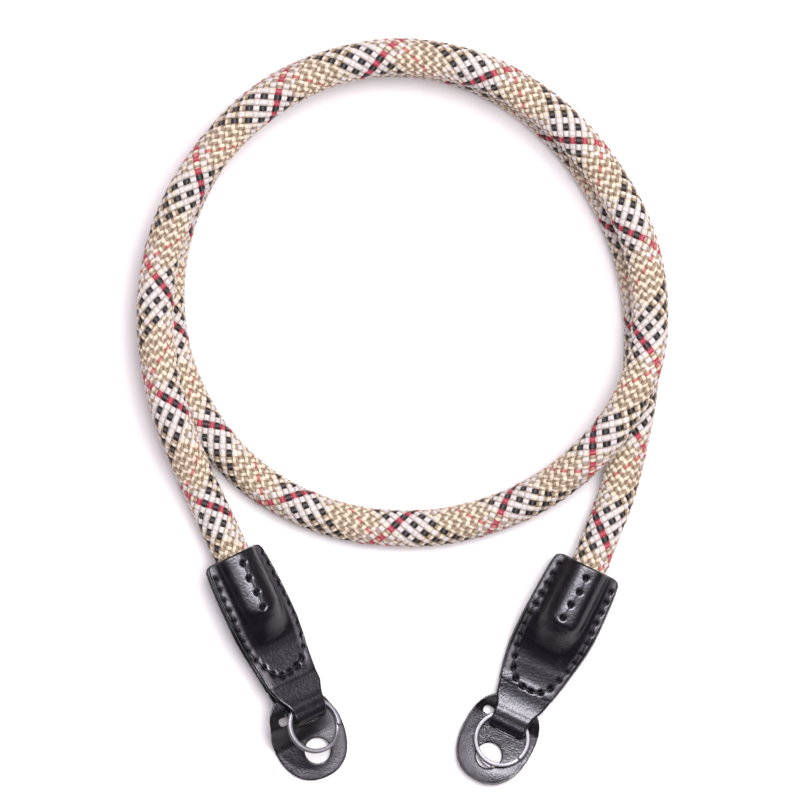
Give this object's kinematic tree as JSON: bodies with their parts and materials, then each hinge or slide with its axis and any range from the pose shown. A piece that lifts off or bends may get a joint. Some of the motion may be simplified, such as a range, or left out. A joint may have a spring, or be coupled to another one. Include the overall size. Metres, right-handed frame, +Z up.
{
  "type": "camera neck strap",
  "caption": "Braided rope camera neck strap with sewn black leather ends, split rings and leather protector pads, laid flat in a loop.",
  "frame": {"origin": "on the surface it lies on, under the middle of the two leather ends", "axes": "+X from the left leather end to the right one, +Y from the leather ends to the loop of rope, +Z up from the surface"},
  "size_m": [0.1588, 0.2237, 0.0225],
  "materials": {
    "braid": "cream, white and black braided yarn with red tracers",
    "leather": "smooth, semi-gloss, burnished edges",
    "pad_leather": "matt, with a burnished edge",
    "steel": "satin"
  },
  "bodies": {
    "root": {"rope": "braid", "left_leather_end": "leather", "right_leather_end": "leather", "left_split_ring": "steel", "right_split_ring": "steel", "left_protector_pad": "pad_leather", "right_protector_pad": "pad_leather"}
  },
  "joints": []
}
